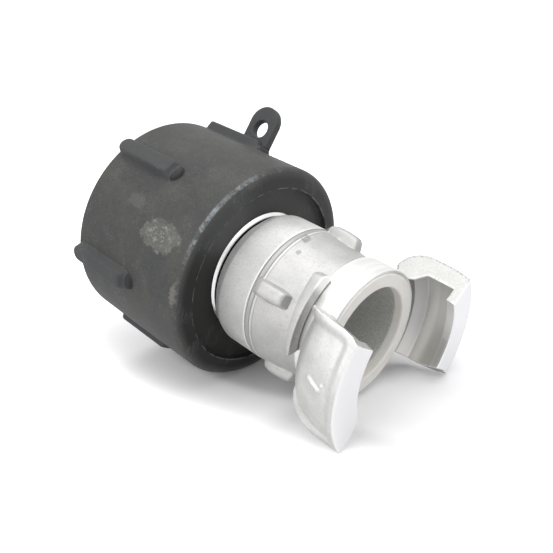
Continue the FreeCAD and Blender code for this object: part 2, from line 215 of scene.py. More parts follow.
# closed outline through (across, up, round) corners, with support points beside each round
def softOutline(corners, step=0.35, support=0.25):
    outline = []
    places = np.array(corners, float)[:, :2]
    for index, (here, (*_, radius)) in enumerate(zip(places, corners)):
        before, after = places[index - 1] - here, places[(index + 1) % len(corners)] - here
        reachBefore, reachAfter = np.linalg.norm(before), np.linalg.norm(after)
        before, after = before / reachBefore, after / reachAfter
        inside = math.acos(max(-1.0, min(1.0, float(before @ after))))
        if radius <= 0 or inside > math.radians(179):
            outline.append(here)
            continue
        cut = radius / math.tan(inside / 2)
        centre = here + (before + after) / np.linalg.norm(before + after) * radius / math.sin(inside / 2)
        start, end = here + before * cut, here + after * cut
        turn = math.pi - inside
        steps = max(3, math.ceil(turn * radius / step), math.ceil(turn / math.radians(20)))
        first = math.atan2(*(start - centre)[::-1])
        sweep = (math.atan2(*(end - centre)[::-1]) - first + math.pi) % (2 * math.pi) - math.pi
        if reachBefore > cut + support * 2:
            outline.append(start + before * support)
        outline += arc(*centre, radius, first, first + sweep, steps + 1)
        if reachAfter > cut + support * 2:
            outline.append(end + after * support)
    return np.array(outline)


# faces of a grid of rows and columns, closed round either way, whose points are numbered from first
def gridFaces(rows, columns, closeRows=True, closeColumns=True, first=0):
    faces = []
    for row in range(rows if closeRows else rows - 1):
        for column in range(columns if closeColumns else columns - 1):
            here, there = first + row * columns, first + (row + 1) % rows * columns
            following = (column + 1) % columns
            faces.append((here + column, here + following, there + following, there + column))
    return faces


# places (radius, height) sections at their turns about the axis
def aroundAxis(sections, turns):
    rings = []
    for section, turn in zip(sections, turns):
        angle = np.radians(turn) * np.ones(len(section))
        rings.append(np.stack([section[:, 0] * np.cos(angle), section[:, 0] * np.sin(angle), section[:, 1]], 1))
    return np.concatenate(rings)


# a turned piece: its corners are given as names of its sizes or as numbers
def spun(name, sizes, corners, segments=360, step=0.35):
    places = [(sizes.get(across, across), sizes.get(up, up), curve) for across, up, curve in corners]
    outline = softOutline(places, step)
    points = aroundAxis([outline] * segments, np.arange(segments) * 360 / segments)
    return pieceFrom(name, points, gridFaces(segments, len(outline)))


def smoothStep(value, low, high):
    share = np.clip((np.asarray(value, float) - low) / (high - low), 0, 1)
    return share * share * (3 - 2 * share)


def setFinish(piece, finish):
    piece.data.materials.clear()
    piece.data.materials.append(finish)


def finished(piece, body, slotName, *nodes):
    setFinish(piece, finishes[slotName])
    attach(piece, body)
    if nodes:
        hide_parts(*nodes)
    return piece


# geometry node trees: a modifier's result becomes a plain mesh

class Tree:
    def __init__(self, name, inputs):
        self.group = bpy.data.node_groups.new(name, "GeometryNodeTree")
        self.group.is_modifier = True
        make = self.group.interface.new_socket
        for way in ("INPUT", "OUTPUT"):
            make("Geometry", in_out=way, socket_type="NodeSocketGeometry")
        self.sockets = {
            label: make(label, in_out="INPUT", socket_type="NodeSocket" + kind).identifier
            for label, kind in inputs.items()}
        self.start = self.group.nodes.new("NodeGroupInput")

    def given(self, label):
        return self.start.outputs[label]

    def node(self, kind, settings=None, *numbered, **named):
        return addNode(self.group, kind, settings, numbered, named).outputs[0]

    def maths(self, operation, first, second):
        return self.node("ShaderNodeMath", {"operation": operation}, first, second)

    def finish(self, geometry):
        real = self.node("GeometryNodeRealizeInstances", Geometry=geometry)
        coated = self.node("GeometryNodeSetMaterial", Geometry=real, Material=self.given("Material"))
        end = self.group.nodes.new("NodeGroupOutput")
        self.group.links.new(coated, end.inputs[0])

    # runs the tree on a piece and gives it the result as its own mesh
    def bake(self, piece, smooth=30, **values):
        modifier = piece.modifiers.new(self.group.name, "NODES")
        modifier.node_group = self.group
        for label, value in values.items():
            modifier[self.sockets[label]] = value
        graph = bpy.context.evaluated_depsgraph_get()
        graph.update()
        mesh = bpy.data.meshes.new_from_object(piece.evaluated_get(graph))
        piece.modifiers.remove(modifier)
        piece.data = mesh
        mesh.name = piece.name
        smoothBelow(mesh, smooth)
        return piece


# finishes

# blemishes on turned surfaces: where, on what radius, squeezed across and along, and how ragged
blemishes = {
    "scar": {"turn": 151, "height": 59, "radius": 57.5, "squeeze": (1.2, 0.42), "grain": (5, 5, 0.7), "seed": 21,
             "ragged": 13},
    "smudge": {"turn": 142, "height": 33.5, "radius": 57.5, "squeeze": (1.6, 0.5), "grain": (4, 4, 0.7), "seed": 41,
               "ragged": 9},
    "scuff": {"turn": 173, "height": 77, "radius": 57.5, "squeeze": (0.12, 1.3), "grain": (2.2, 5, 0.75), "seed": 51,
              "ragged": 8},
    "pit": {"turn": 112.8, "height": 112.3, "radius": 33.23, "squeeze": (1, 1), "grain": (1.2, 3, 0.5), "seed": 46,
            "ragged": 1.2},
}
moulding = {
    "dark": (0.082, 0.083, 0.083), "light": (0.103, 0.104, 0.096), "speck": (0.16, 0.16, 0.15),
    "stain": (0.045, 0.046, 0.046), "rib": (0.084, 0.086, 0.092), "stub": (0.030, 0.030, 0.031),
    "chalkAndSheen": (0.38, 0.41, 0.43), "line": (0.30, 0.31, 0.31), "scar": (0.36, 0.36, 0.325),
    "smudge": (0.28, 0.28, 0.24), "scuff": (0.30, 0.29, 0.26), "scratch": (0.26, 0.27, 0.27),
    # each with painted shade on the underside, painted light on the upper side and a painted highlight along its crest
    "recess": ((0.040, 0.040, 0.038), (0.072, 0.072, 0.071), (0.108, 0.109, 0.108)),
    "wall": ((0.027, 0.027, 0.0265), (0.050, 0.050, 0.0495), (0.072, 0.073, 0.073)),
    # turn of each set of scratches, and its seed
    "scratches": ((25, 61), (-40, 62), (70, 63)),
}


def blackMoulding(f):
    blotch = f.noise(16, 4, 0.6)
    speck = f.noise(1.1, 3, 0.6, seed=3)
    rub = f.noise(5, 5, 0.65, seed=7)
    base = f.mix(f.ease(blotch, 0.35, 0.68), moulding["dark"], moulding["light"])
    base = f.mix(f.ease(speck, 0.5, 0.78) * 0.6, base, moulding["speck"])
    base = f.mix(f.ease(f.noise(3.2, 5, 0.8, seed=71), 0.46, 0.3) * 0.5, base, moulding["stain"])
    # the front wall and its recess are smoother and darker than the barrel; painted shade darkens them most on the
    # underside, painted light brightens their upper side and a crest near turn 125
    paintedUpperLight = f.upperSide(149, 15)
    crest = f.band(f.turn, 125, 8, 20)
    recess, wall = (
        f.mix(crest, f.mix(paintedUpperLight, under, upper), bright)
        for under, upper, bright in (moulding["recess"], moulding["wall"]))
    base = f.mix(f.ease(f.z, 76.4, 76.8) * f.ease(f.radius, 49, 48), base, recess)
    front = f.ease(f.z, 78.9, 80.2)
    base = f.mix(front, base, wall)
    # the ribs are a little bluer, and dark where their stubs stand
    base = f.mix(f.ease(f.radius, 57.8, 58.4) * 0.6, base, moulding["rib"])
    stubs = f.ease(f.z, 43.6, 44.2) * f.ease(f.z, 49, 48.4) * f.ease(f.radius, 57.5, 57.9) * f.ease(f.radius, 61, 60.5)
    base = f.mix(stubs * 0.75, base, moulding["stub"])
    # a pale edge of wear where the barrel turns into the front wall, with a painted highlight on it, strongest near
    # turn 125
    edge = f.band(f.radius, 56.7, 0.5, 1.1) * f.band(f.z, 79.2, 0.9, 1.1)
    wearAndSheen = edge * (0.2 + f.ease(f.noise(7, 4, 0.7, seed=11), 0.45, 0.62) + f.band(f.turn, 126, 9, 9) * 0.6)
    side = f.ease(abs(f.turn - 124), 52, 12)
    wearAndSheen = wearAndSheen * (0.12 + side * 0.88) * f.ease(f.noise(1.8, 5, 0.8, seed=5), 0.34, 0.64)
    base = f.mix(wearAndSheen * 0.9, base, moulding["chalkAndSheen"])
    # thin light line round the recess rim
    rim = f.band(f.radius, 47.6, 0.25, 0.35) * f.ease(f.z, 80.3, 80.9)
    base = f.mix(rim * f.ease(f.noise(4, 3, seed=2), 0.4, 0.6) * 0.5, base, moulding["line"])
    # scar where the barrel was scraped, a smudge above it, and scuffs by the shoulder
    barrel = f.ease(f.radius, 56.8, 57.3)
    spot = f.spot(blemishes["scar"])
    scar = f.ease(spot, 9.5, 7.0) * barrel
    swirl = f.maths("SINE", spot * 1.9 + f.noise(6, 5, 0.7, seed=31) * 22)
    crust = f.ease(swirl, 0.0, 0.9) * f.ease(f.noise(3, 4, 0.7, seed=33), 0.4, 0.62)
    base = f.mix(scar * (0.28 + crust * 0.68), base, moulding["scar"])
    smudge = f.ease(f.spot(blemishes["smudge"]), 5.5, 2.5) * barrel
    base = f.mix(smudge * 0.22, base, moulding["smudge"])
    scuff = f.ease(f.spot(blemishes["scuff"]), 2.6, 0.8) * f.ease(f.radius, 53, 55)
    base = f.mix(scuff * 0.6, base, moulding["scuff"])
    # fine scratches, drawn out along the barrel in a few directions
    scratches = 0
    for turn, seed in moulding["scratches"]:
        tilted = f.node("Mapping", None, Vector=f.place,
                        Rotation=(math.radians(turn), 0, math.radians(turn * 2)), Scale=(1.6, 0.06, 0.4))
        line = f.band(f.noise(1, 1, place=tilted, seed=seed), 0.5, 0.004, 0.006)
        scratches = line * f.ease(f.noise(14, 2, seed=seed + 10), 0.52, 0.62) + scratches
    base = f.mix(f.maths("MINIMUM", scratches, 1) * 0.36, base, moulding["scratch"])
    rough = 0.47 + blotch * 0.14 + scar * 0.25 + wearAndSheen * 0.1 + front * 0.06
    normal = f.bump(speck * 0.35 + rub * 0.5, 0.09, 0.7)
    normal = f.bump(scar * crust + scuff + wearAndSheen * 0.4, 0.12, 0.8, under=normal)
    return f.feed(Base_Color=base, Roughness=rough, Normal=normal, Specular_IOR_Level=0.16)


# sand-cast surface: its colour and its height
def castSkin(f, base, light, grain):
    fine = f.noise(0.55, 4, 0.65, seed=4)
    sand = f.noise(1.5, 3, 0.6, seed=9)
    cloud = f.noise(11, 3, 0.55, seed=14)
    pits = f.ease(f.cells(1.9), 0.16, 0.03) * f.ease(f.noise(3.5, 2, seed=17), 0.52, 0.66)
    colour = f.mix(f.ease(cloud, 0.3, 0.7), base, light)
    grains = (f.ease(fine, 0.42, 0.66) * 0.22, 0.78), (f.ease(sand, 0.5, 0.8) * 0.35, 0.72), (pits * 0.45, 0.45)
    for share, shade in grains:
        colour = f.mix(share * grain, colour, tuple(c * shade for c in base))
    height = fine * 0.4 + sand * 0.6 - pits * 0.9
    return colour, height


def castAluminium(f):
    colour, height = castSkin(f, (0.70, 0.70, 0.69), (0.80, 0.80, 0.79), 1.9)
    # painted light on the upper side and painted shade on the underside
    paintedSideLight = f.mix(f.upperSide(114, 20), (0.92, 0.92, 0.92), (1.12, 1.12, 1.12))
    colour = f.mix(1, colour, paintedSideLight, "MULTIPLY")
    # a painted highlight along the socket's front edge
    edge = f.ease(f.z, 102.55, 102.9) * f.ease(f.radius, 34.6, 34.9)
    colour = f.mix(edge * 0.9, colour, (0.97, 0.97, 0.96))
    rough = 0.46 + f.noise(6, 3, seed=23) * 0.16
    return f.feed(Base_Color=colour, Roughness=rough, Metallic=0.55, Normal=f.bump(height, 0.08, 0.9))


def ringAluminium(f):
    colour, height = castSkin(f, (0.52, 0.52, 0.51), (0.61, 0.605, 0.595), 1.7)
    # the band behind the bead is turned, the bead's crest is rubbed bright
    rim = f.band(f.z, 105.0, 1.4, 0.4) * f.ease(f.radius, 34.6, 34.8)
    crest = f.band(f.z, 106.85, 0.35, 0.4) * f.ease(f.radius, 34.6, 34.9)
    lines = f.noise(1, 2, place=f.unrolled(60, 0.25), seed=8)
    seam = f.band(f.z, 107.9, 0.1, 0.35) * f.ease(f.radius, 34, 34.3) * f.ease(f.radius, 35.6, 35.3)
    colour = f.mix(rim * 0.3, colour, (0.44, 0.44, 0.43))
    colour = f.mix(crest * 0.35, colour, (0.85, 0.85, 0.84))
    colour = f.mix(seam * 0.55, colour, (0.3, 0.3, 0.3))
    # a casting pit and a chipped spot beside the bead
    pit = f.ease(f.spot(blemishes["pit"]), 1.7, 0.9)
    chip = f.band(f.z, 108.4, 1.5, 1.4) * f.band(f.turn, 97.5, 3.0, 2.6) * f.ease(f.noise(1.6, 3, seed=47), 0.42, 0.54)
    colour = f.mix(f.maths("MAXIMUM", pit * 0.5, chip * 0.68), colour, (0.2, 0.2, 0.195))
    # the cams' thick ends are rubbed bright in front
    blunt = f.maths("MAXIMUM", f.band(f.turn, 124, 5, 8), f.band(f.turn, -56, 5, 8))
    colour = f.mix(blunt * f.ease(f.z, 134.9, 135.7) * 0.8, colour, (0.95, 0.95, 0.94))
    rough = 0.44 + f.noise(6, 3, seed=23) * 0.16 - rim * 0.12
    height = height * (1 - rim * 0.7) + lines * rim * 0.3
    return f.feed(Base_Color=colour, Roughness=rough, Metallic=0.7, Normal=f.bump(height, 0.07, 0.85))


def clawAluminium(f):
    colour, height = castSkin(f, (0.64, 0.645, 0.63), (0.76, 0.76, 0.745), 1.4)
    turnedPart, ridge, capped = (
        f.node("Attribute", {"attribute_name": name}, output="Fac")
        for name in ("machined", "ridge", "capped"))
    # painted highlight along the first end's outer edge and the front corner, painted shade along the other end's outer
    # edge
    colour = f.mix(f.ease(ridge, 0.1, 0.7) * 0.85, colour, (0.93, 0.93, 0.92))
    colour = f.mix(f.ease(ridge, -0.1, -0.7) * 0.6, colour, (0.34, 0.34, 0.33))
    # the claws' ends are grainy, with a painted shade line along the outer edge
    sand = f.ease(f.noise(0.8, 4, 0.7, seed=27), 0.4, 0.65)
    colour = f.mix(f.ease(capped, 0.2, 0.4), colour, f.mix(sand, (0.50, 0.50, 0.487), (0.575, 0.575, 0.56)))
    colour = f.mix(f.ease(capped, 0.58, 0.78), colour, (0.33, 0.33, 0.33))
    # the bore is left rough and dull
    within = f.ease(f.radius, 25.6, 25.2)
    grit = f.noise(0.9, 5, 0.75, seed=44)
    colour = f.mix(within, colour, f.mix(f.ease(grit, 0.35, 0.7), (0.52, 0.525, 0.505), (0.76, 0.765, 0.735)))
    faced = f.ease(f.z, 171.2, 171.5)
    lines = f.noise(1, 3, 0.6, place=f.unrolled(70, 0.35), seed=6) * (1 - faced)
    wide = f.noise(1, 2, 0.5, place=f.unrolled(90, 2.3), seed=16)
    bright = f.mix(f.ease(wide, 0.3, 0.7), (0.84, 0.84, 0.82), (0.96, 0.96, 0.95))
    bright = f.mix(f.ease(lines, 0.5, 0.8) * 0.4, bright, (0.70, 0.695, 0.67))
    # painted shade at the foot of the inner wall, a warm painted shade on the underside, and painted shade in the
    # corner under the lip
    paintedFootShade = f.ease(f.z, 153.2, 151.8) * f.ease(f.radius, 34.5, 36)
    bright = f.mix(paintedFootShade * 0.85, bright, (0.43, 0.43, 0.425))
    low = f.ease(f.y, -2, -22) * f.ease(f.z, 171.2, 170.6)
    bright = f.mix(low * 0.4, bright, (0.84, 0.81, 0.76))
    deep = f.ease(f.z, 156.5, 161) * f.ease(f.radius, 37.5, 38.5) * (1 - faced)
    bright = f.mix(deep * 0.5, bright, (0.62, 0.615, 0.59))
    # painted light brightens the lip's inner face down to a step
    lip = f.ease(f.radius, 37, 36) * f.ease(f.z, 166.6, 167.1) * f.ease(f.y, -4.9, -3.9)
    bright = f.mix(lip, bright, (1, 1, 1))
    bright = f.mix(faced, bright, (0.95, 0.95, 0.96))
    # a painted highlight along the rim edge of the head's flange
    rim = f.band(f.radius, 33.3, 0.3, 0.15) * f.band(f.z, 148.7, 0.25, 0.15)
    bright = f.mix(rim, bright, (0.99, 0.99, 0.98))
    colour = f.mix(turnedPart, colour, bright)
    rough = (0.43 + f.noise(6, 3, seed=23) * 0.14) * (1 - turnedPart) + (0.27 + lines * 0.1) * turnedPart
    height = height * (1 - turnedPart) + lines * turnedPart * 0.25 + grit * within * 1.6
    return f.feed(Base_Color=colour, Roughness=rough, Metallic=0.85 - within * 0.6, Normal=f.bump(height, 0.07, 0.85))


def machinedAluminium(f):
    lines = f.noise(1, 3, 0.6, place=f.unrolled(70, 0.3, 0.3), seed=6)
    colour = f.mix(f.ease(lines, 0.35, 0.75), (0.76, 0.76, 0.75), (0.9, 0.9, 0.89))
    return f.feed(Base_Color=colour, Roughness=0.24 + lines * 0.12, Metallic=0.9, Normal=f.bump(lines, 0.02, 0.5))


def brightSteel(f, shade, brim=0, metallic=0.95):
    lines = f.noise(1, 2, place=f.unrolled(80, 0.2, 0.2), seed=2)
    colour = f.mix(f.ease(lines, 0.3, 0.8), (shade, shade, shade), (0.93, 0.93, 0.93))
    # painted shade, dark inside the brim
    colour = f.mix(f.ease(f.radius, brim + 0.3, brim), colour, (0.05, 0.05, 0.05))
    return f.feed(Base_Color=colour, Roughness=0.2 + lines * 0.15, Metallic=metallic, Normal=f.bump(lines, 0.01, 0.4))


def creamRubber(f):
    lines = f.noise(1, 3, 0.6, place=f.unrolled(120, 3.0, 0.5), seed=12)
    cloud = f.noise(7, 3, seed=13)
    colour = f.mix(f.ease(cloud, 0.3, 0.7), (0.95, 0.92, 0.86), (0.99, 0.975, 0.935))
    colour = f.mix(f.ease(lines, 0.52, 0.75) * 0.4, colour, (0.74, 0.69, 0.60))
    normal = f.bump(lines * 0.7 + f.noise(0.6, 3, seed=15) * 0.3, 0.08, 0.7)
    return f.feed(Base_Color=colour, Roughness=0.62 + cloud * 0.1, Normal=normal, Specular_IOR_Level=0.35)


def blackRubber(f):
    cloud = f.noise(5, 4, seed=18)
    colour = f.mix(f.ease(cloud, 0.35, 0.7), (0.022, 0.022, 0.023), (0.045, 0.045, 0.046))
    normal = f.bump(f.noise(0.8, 3, seed=19), 0.05, 0.5)
    return f.feed(Base_Color=colour, Roughness=0.6 + cloud * 0.15, Normal=normal)


def whiteSlip(f):
    cloud = f.noise(6, 3, seed=24)
    colour = f.mix(cloud, (0.78, 0.78, 0.76), (0.86, 0.86, 0.85))
    return f.feed(Base_Color=colour, Roughness=0.4 + cloud * 0.1, Normal=f.bump(f.noise(1.2, 2, seed=25), 0.02, 0.4))


makers = {
    "black_moulding": (blackMoulding,),
    "black_rubber": (blackRubber,),
    "machined_aluminium": (machinedAluminium,),
    "white_slip": (whiteSlip,),
    "bright_steel": (brightSteel, 0.93, 31.6, 0.9),
    "cast_aluminium": (castAluminium,),
    "pin_steel": (brightSteel, 0.62),
    "joint_rubber": (blackRubber,),
    "ring_aluminium": (ringAluminium,),
    "claw_aluminium": (clawAluminium,),
    "cream_rubber": (creamRubber,),
}
finishes = {name: make(Finish(name), *values) for name, (make, *values) in makers.items()}
print("finishes made")


# cap nut: turned shell, ring of grip ribs, eyelet, and the thread inside

nut = {
    "radius": 57.49, "mouth": 0.02, "shoulder": 78.7, "height": 81.2, "recess": 47.4, "recessFloor": 77.0,
    "wall": 68.0, "seat": 46.5, "threadRadius": 50.2, "threadDepth": 52.0, "bore": 29.85, "parked": 1,
}


def makeNut():
    shell = spun("nut_shell", nut, [
        ("threadRadius", "mouth", 0.8),
        ("radius", "mouth", 1.2),
        ("radius", "shoulder", 2.6),
        ("recess", "height", 0.5),
        ("recess", "recessFloor", 0.9),
        ("bore", "recessFloor", 0.3),
        ("bore", "wall", 0.3),
        ("seat", "wall", 0.6),
        ("seat", "threadDepth", 0.3),
        ("threadRadius", "threadDepth", 0.4),
    ], 480)
    return finished(shell, "nut", "black_moulding", "cap_nut")


rib = {"count": 6, "width": 10, "start": 0.55, "end": 43.7, "foot": 57.0, "top": 62.3, "round": 1.3, "nose": 1.3,
       "stub": [(57.0, 4.9), (57.7, 4.6), (58.6, 4.35), (59.3, 3.9), (59.75, 3.1), (59.95, 2.0), (60.0, 0.8)],
       "stubAlong": 43.0}


# one rib: level outlines stacked out from the barrel, flared at the foot and rounded at the top
def ribLevels():
    levels = [(rib["foot"], 0.5, 0), (57.45, 0.4, 0), (57.65, 0.15, 0), (57.95, 0.0, 0.1)]
    side = rib["top"] - rib["round"]
    for share in (0.25, 0.5, 0.75, 1):
        levels.append((58.2 + (side - 58.2) * share, -0.75 * share, rib["nose"] * share))
    for number in range(1, 6):
        angle = math.pi / 2 * number / 5
        inset = -0.75 - rib["round"] * (1 - math.cos(angle))
        levels.append((side + rib["round"] * math.sin(angle), inset, rib["nose"] + 0.4 * number / 5))
    return levels


def makeRibs():
    points = []
    levels = ribLevels()
    rear = rib["start"] + rib["width"] / 2
    for height, grow, nose in levels:
        half = rib["width"] / 2 + grow
        front = rib["end"] + min(grow, 0.4) - nose
        corner = min(1.7, half - 0.3)
        outline = arc(0, rear, half, 0, -math.pi, 15)
        outline += arc(corner - half, front - corner, corner, math.pi, math.pi / 2, 8)
        outline += arc(half - corner, front - corner, corner, math.pi / 2, 0, 8)
        points += [(height, *place) for place in outline]
    columns = len(outline)
    faces = gridFaces(len(levels), columns, closeRows=False)
    faces += [tuple(range(columns)), tuple(range(len(points) - columns, len(points)))]
    # a round stub stands at the front end of the rib
    first, around = len(points), 40
    for height, radius in rib["stub"]:
        points += [(height, *place) for place in arc(0, rib["stubAlong"], radius, 0, 2 * math.pi, around + 1)[:-1]]
    faces += gridFaces(len(rib["stub"]), around, closeRows=False, first=first)
    faces += [tuple(range(first, first + around)), tuple(range(len(points) - around, len(points)))]
    one = pieceFrom("nut_ribs", points, faces, 40)
    tree = Tree("ribRing", {"Count": "Int", "Start": "Float", "Material": "Material"})
    step = tree.maths("DIVIDE", 2 * math.pi, tree.given("Count"))
    number = tree.node("GeometryNodeInputIndex")
    turn = tree.maths("ADD", tree.maths("MULTIPLY", number, step), tree.given("Start"))
    turns = tree.node("ShaderNodeCombineXYZ", Z=turn)
    spots = tree.node("GeometryNodePoints", Count=tree.given("Count"))
    ring = tree.node("GeometryNodeInstanceOnPoints", Points=spots, Instance=tree.given("Geometry"), Rotation=turns)
    tree.finish(ring)
    tree.bake(one, 40, Count=rib["count"], Start=math.radians(nut["parked"]), Material=finishes["black_moulding"])
    return finished(one, "nut", "black_moulding")


eyelet = {"turn": 59.5, "centre": 72.0, "height": 36.0, "radius": 9.2, "hole": 4.7, "holeDrop": 3.5, "thick": 4.5,
          "round": 0.7, "foot": 56.8}


# tongue outline in radius and height, and the hole: both have the same number of points
def makeEyelet():
    centre, height, radius, foot = (eyelet[key] for key in ("centre", "height", "radius", "foot"))
    top, bottom = height + radius, height - radius
    outer = arc(centre, height, radius, -math.pi / 2, math.pi / 2, 40)
    down = [centre + (foot - centre) * share for share in np.linspace(0.1, 1, 12)]
    flare = [1.6 * max(0, 1 - (out - 57) / 3.0) ** 2 for out in down]
    outer += [(out, top + grow) for out, grow in zip(down, flare)]
    outer += [(foot, top + flare[-1] - (top - bottom + 2 * flare[-1]) * share) for share in np.linspace(0.1, 0.9, 9)]
    outer += [(out, bottom - grow) for out, grow in zip(down[::-1], flare[::-1])]
    outer = np.array(outer)
    towards = np.array([centre - eyelet["holeDrop"], height]) - outer
    reach = np.linalg.norm(towards, axis=1)[:, None]
    towards = towards / reach
    inner = outer + towards * (reach - eyelet["hole"])
    half, soft = eyelet["thick"] / 2, eyelet["round"]
    quarter = arc(0, 0, soft, 0, math.pi / 2, 5)
    rings = []
    for sign in (1, -1):
        edge = [(outer + towards * (soft - c), sign * (half - soft + s)) for c, s in quarter]
        face = [(outer + (inner - outer) * share, sign * half) for share in (0.25, 0.5, 0.75)]
        lip = [(inner - towards * (soft - s), sign * (half - soft + c)) for c, s in quarter]
        rings += (edge + face + lip)[::sign]
    turn = math.radians(eyelet["turn"])
    out = np.array([math.cos(turn), math.sin(turn)])
    side = np.array([-out[1], out[0]])
    points = [np.column_stack([shape[:, :1] * out + offset * side, shape[:, 1]]) for shape, offset in rings]
    tongue = pieceFrom("nut_eyelet", np.concatenate(points), gridFaces(len(rings), len(outer)), 35)
    return finished(tongue, "nut", "black_moulding")


thread = {"pitch": 6.0, "turns": 6.8, "start": 3.5, "depth": 1.9, "foot": 3.4, "crest": 1.5}


# coarse inside thread: a short profile carried round a helix
def makeThread():
    piece = addObject("nut_thread", bpy.data.meshes.new("nut_thread"))
    lengths = ("Pitch", "Depth", "Foot", "Crest", "Start")
    tree = Tree("insideThread", {"Material": "Material", **dict.fromkeys(("Radius", "Turns", *lengths), "Float")})
    height = tree.maths("MULTIPLY", tree.given("Pitch"), tree.given("Turns"))
    helix = tree.node(
        "GeometryNodeCurveSpiral", Resolution=72, Rotations=tree.given("Turns"), Start_Radius=tree.given("Radius"),
        End_Radius=tree.given("Radius"), Height=height, Reverse=False)
    lift = tree.node("ShaderNodeCombineXYZ", Z=tree.given("Start"))
    helix = tree.node("GeometryNodeTransform", Geometry=helix, Translation=lift)
    helix = tree.node("GeometryNodeSetCurveNormal", {"mode": "Z_UP"}, Curve=helix)
    profile = tree.node(
        "GeometryNodeCurvePrimitiveQuadrilateral", {"mode": "TRAPEZOID"}, Bottom_Width=tree.given("Foot"),
        Top_Width=tree.given("Crest"), Height=tree.given("Depth"), Offset=0)
    ridge = tree.node("GeometryNodeCurveToMesh", Curve=helix, Profile_Curve=profile, Fill_Caps=True)
    tree.finish(ridge)
    tree.bake(piece, 30, Radius=nut["threadRadius"] * mm, Turns=thread["turns"], Material=finishes["black_moulding"],
              **{label: thread[label.lower()] * mm for label in lengths})
    return finished(piece, "nut", "black_moulding")


makeNut()
makeRibs()
makeEyelet()
makeThread()
print("cap nut made")

# rings and socket behind the lock ring

washer = {"bore": 29.9, "radius": 32.3, "rear": 77.32, "front": 78.88, "brim": 0.8, "dish": 0.7, "stand": 1.95,
          "turn": 112}
socket = {"bore": 29.9, "neck": 28.65, "radius": 35.35, "rear": 78.92, "front": 103.28, "step": 91.3,
          "foot": 31.1, "shoulder": 33.9, "shoulderHeight": 81.9, "barrelStart": 85.6}


# the washer is dished inside a flat brim and stands a little proud on one side
def makeWasher():
    bore, radius, rear, front = (washer[key] for key in ("bore", "radius", "rear", "front"))
    inside, dish = radius - washer["brim"], front - washer["dish"]
    ring = spun("thrust_washer_ring", washer, [
        (bore, rear, 0.15),
        (radius, rear, 0.15),
        (radius, rear + 0.3, 0.15),
        (inside, front, 0.15),
        (inside - 0.3, dish, 0.2),
        (bore + 0.5, dish, 0.1),
        (bore + 0.4, front, 0.1),
        (bore, front, 0.1),
    ], step=0.12)
    for vertex in ring.data.vertices:
        away = math.hypot(vertex.co.x, vertex.co.y) / mm
        share = max(0, (away - bore - 1) / (radius - bore - 1))
        lean = math.cos(math.atan2(vertex.co.y, vertex.co.x) - math.radians(washer["turn"]))
        grow = 1 + washer["stand"] * share * lean / away
        vertex.co.x, vertex.co.y = vertex.co.x * grow, vertex.co.y * grow
    return finished(ring, "coupling", "bright_steel", "thrust_washer")


def makeSocket():
    sleeve = spun("socket_sleeve", socket, [
        ("bore", "rear", 0.3),
        ("foot", "rear", 0.5),
        ("shoulder", "shoulderHeight", 3),
        ("radius", "barrelStart", 4),
        ("radius", "front", 0.6),
        ("neck", "front", 0.3),
        ("neck", "step", 0.1),
        ("bore", "step", 0.1),
    ])
    return finished(sleeve, "coupling", "cast_aluminium", "threaded_socket")


makeWasher()
makeSocket()
print("washer and socket made")

# lock ring: a sleeve with four grip lugs and two climbing cams

ring = {
    "bore": 28.65, "rear": 103.63, "rimEnd": 107.0, "rim": 35.0, "bead": 0.35, "barrel": 34.85, "nose": 31.7,
    "front": 133.58, "parked": 61, "lugHalf": 4.0, "camOut": 39.65, "camStart": 59, "camEnd": 121,
    "camFoot": 129.75, "camRise": 4.2, "camFront": 136.05, "camBack": 33.95, "camRound": 3.2, "camThin": 0.65,
    "lugHeights": [104.0, 105.2, 107, 110, 115, 119, 122, 123, 123.8, 124.6],
    "lugRadii": [34.2, 37.2, 38.9, 39.6, 39.5, 39.1, 38.5, 37.6, 35.4, 31.0],
}


def ringBase(height):
    barrel, end = ring["barrel"], ring["rimEnd"]
    taper = np.interp(height, [107.6, 133.6], [barrel, ring["nose"]])
    band = (ring["rim"] - barrel) * (1 - smoothStep(height, end - 0.7, end))
    return taper + band + ring["bead"] * np.exp(-(((height - end + 0.2) / 0.42) ** 2))


# how far a lug stands out at a height, and across its width
def lugRadius(height, across):
    crown = np.interp(height, ring["lugHeights"], ring["lugRadii"])
    half = ring["lugHalf"] - 0.4 * smoothStep(height, 114, 124)
    side = np.abs(across) / half
    return crown - 1.5 * side**3 - 9 * np.clip(side - 0.85, 0, 2)


